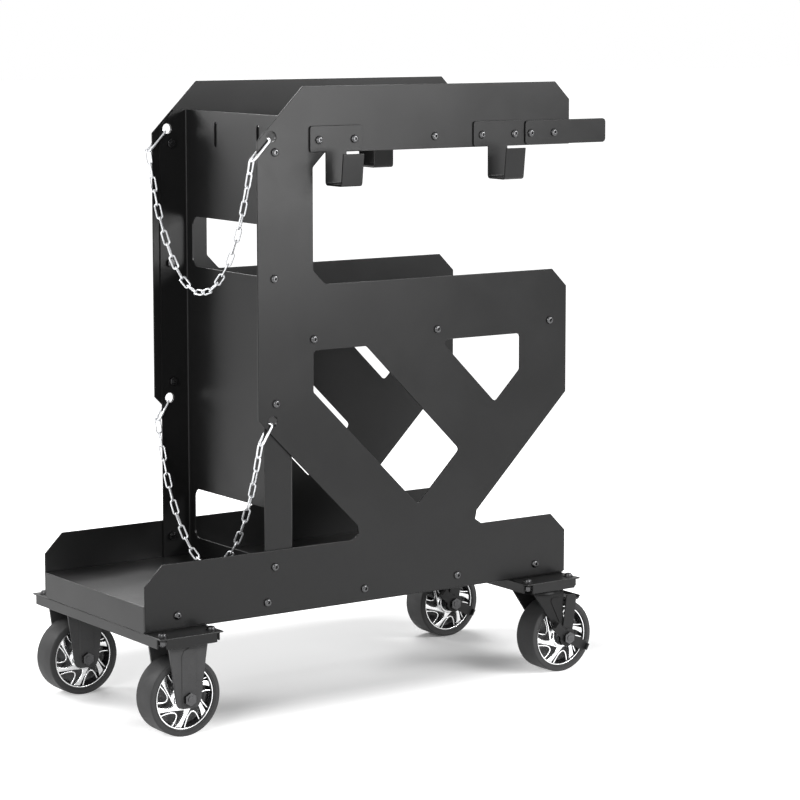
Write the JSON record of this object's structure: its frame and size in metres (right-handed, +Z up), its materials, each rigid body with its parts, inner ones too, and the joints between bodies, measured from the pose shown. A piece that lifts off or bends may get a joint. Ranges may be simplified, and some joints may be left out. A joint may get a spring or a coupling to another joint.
{
  "type": "welding cart",
  "caption": "Sheet-steel workshop cart with a bottle bay held by chains, open shelves, cable hooks and handle plates, on fixed rear casters and braked swivel front casters.",
  "frame": {"origin": "on the floor under the middle of the cart's box", "axes": "+Z up, +X to the front end with the handle plates and swivel casters, +Y to the left side"},
  "size_m": [0.9406, 0.4556, 1.0446],
  "materials": {
    "powder_coat": "satin fine-textured powder coat, anthracite",
    "black_steel": "satin black coated pressed steel",
    "zinc": "bright zinc plate",
    "chrome": "polished chrome plate",
    "tyre_rubber": "matt grey-black rubber",
    "bearing_steel": "zinc-plated turned steel"
  },
  "bodies": {
    "frame": {"right_side_panel": "powder_coat", "left_side_panel": "powder_coat", "rear_panel": "powder_coat", "base_tray": "powder_coat", "middle_shelf": "powder_coat", "top_shelf": "powder_coat", "right_rear_cable_hook": "powder_coat", "right_front_cable_hook": "powder_coat", "right_handle_plate": "powder_coat", "left_rear_cable_hook": "powder_coat", "left_front_cable_hook": "powder_coat", "left_handle_plate": "powder_coat", "upper_right_connector": "zinc", "upper_left_connector": "zinc", "lower_right_connector": "zinc", "lower_left_connector": "zinc", "rear_caster_bar": "powder_coat", "front_caster_bar": "powder_coat", "right_rear_caster_fork": "black_steel", "right_rear_caster_axle": "black_steel", "right_rear_caster_spacer": "bearing_steel", "right_front_caster_plate": "black_steel", "right_front_caster_race": "bearing_steel", "right_front_caster_kingpin": "bearing_steel", "left_rear_caster_fork": "black_steel", "left_rear_caster_axle": "black_steel", "left_rear_caster_spacer": "bearing_steel", "left_front_caster_plate": "black_steel", "left_front_caster_race": "bearing_steel", "left_front_caster_kingpin": "bearing_steel"},
    "upper_chain": {"upper_chain": "zinc"},
    "lower_chain": {"lower_chain": "zinc"},
    "right_rear_wheel": {"right_rear_caster_tyre": "tyre_rubber", "right_rear_caster_hub": "chrome", "right_rear_caster_bearing": "bearing_steel"},
    "right_front_swivel": {"right_front_caster_fork": "black_steel", "right_front_caster_axle": "black_steel", "right_front_caster_spacer": "bearing_steel"},
    "right_front_wheel": {"right_front_caster_tyre": "tyre_rubber", "right_front_caster_hub": "chrome", "right_front_caster_bearing": "bearing_steel"},
    "right_brake_lever": {"right_front_caster_brake_lever": "black_steel"},
    "right_brake_shoe": {"right_front_caster_brake_shoe": "black_steel"},
    "left_rear_wheel": {"left_rear_caster_tyre": "tyre_rubber", "left_rear_caster_hub": "chrome", "left_rear_caster_bearing": "bearing_steel"},
    "left_front_swivel": {"left_front_caster_fork": "black_steel", "left_front_caster_axle": "black_steel", "left_front_caster_spacer": "bearing_steel"},
    "left_front_wheel": {"left_front_caster_tyre": "tyre_rubber", "left_front_caster_hub": "chrome", "left_front_caster_bearing": "bearing_steel"},
    "left_brake_lever": {"left_front_caster_brake_lever": "black_steel"},
    "left_brake_shoe": {"left_front_caster_brake_shoe": "black_steel"}
  },
  "joints": [
    {"name": "right_rear_wheel_spin", "type": "hinge", "parent": "frame", "child": "right_rear_wheel", "pos_m": [-0.40525, -0.172, 0.065], "axis": [0, 1, 0], "continuous": true},
    {"name": "left_rear_wheel_spin", "type": "hinge", "parent": "frame", "child": "left_rear_wheel", "pos_m": [-0.40525, 0.172, 0.065], "axis": [0, 1, 0], "continuous": true},
    {"name": "right_front_swivel_turn", "type": "hinge", "parent": "frame", "child": "right_front_swivel", "pos_m": [0.32775, -0.172, 0.15], "axis": [0, 0, 1], "continuous": true},
    {"name": "right_front_wheel_spin", "type": "hinge", "parent": "right_front_swivel", "child": "right_front_wheel", "pos_m": [0.36375, -0.172, 0.065], "axis": [0, 1, 0], "continuous": true},
    {"name": "right_brake_lever_tilt", "type": "hinge", "parent": "right_front_swivel", "child": "right_brake_lever", "pos_m": [0.36375, -0.172, 0.065], "axis": [0, 1, 0], "range_deg": [0, 20]},
    {"name": "right_brake_shoe_slide", "type": "slide", "parent": "right_front_swivel", "child": "right_brake_shoe", "axis": [-0.1392, 0, -0.9903], "range_m": [0, 0.002]},
    {"name": "left_front_swivel_turn", "type": "hinge", "parent": "frame", "child": "left_front_swivel", "pos_m": [0.32775, 0.172, 0.15], "axis": [0, 0, 1], "continuous": true},
    {"name": "left_front_wheel_spin", "type": "hinge", "parent": "left_front_swivel", "child": "left_front_wheel", "pos_m": [0.36375, 0.172, 0.065], "axis": [0, 1, 0], "continuous": true},
    {"name": "left_brake_lever_tilt", "type": "hinge", "parent": "left_front_swivel", "child": "left_brake_lever", "pos_m": [0.36375, 0.172, 0.065], "axis": [0, 1, 0], "range_deg": [0, 20]},
    {"name": "left_brake_shoe_slide", "type": "slide", "parent": "left_front_swivel", "child": "left_brake_shoe", "axis": [-0.1392, 0, -0.9903], "range_m": [0, 0.002]},
    {"name": "upper_chain_swing", "type": "hinge", "parent": "frame", "child": "upper_chain", "pos_m": [-0.25725, 0, 0.9256], "axis": [0, 1, 0], "range_deg": [-3, 80]},
    {"name": "lower_chain_swing", "type": "hinge", "parent": "frame", "child": "lower_chain", "pos_m": [-0.24425, 0, 0.4586], "axis": [0, 1, 0], "range_deg": [-3, 80]}
  ],
  "couplings": [
    {"joint": "right_brake_shoe_slide", "follows": "right_brake_lever_tilt", "m_per_rad": 0.0057},
    {"joint": "left_brake_shoe_slide", "follows": "left_brake_lever_tilt", "m_per_rad": 0.0057}
  ]
}
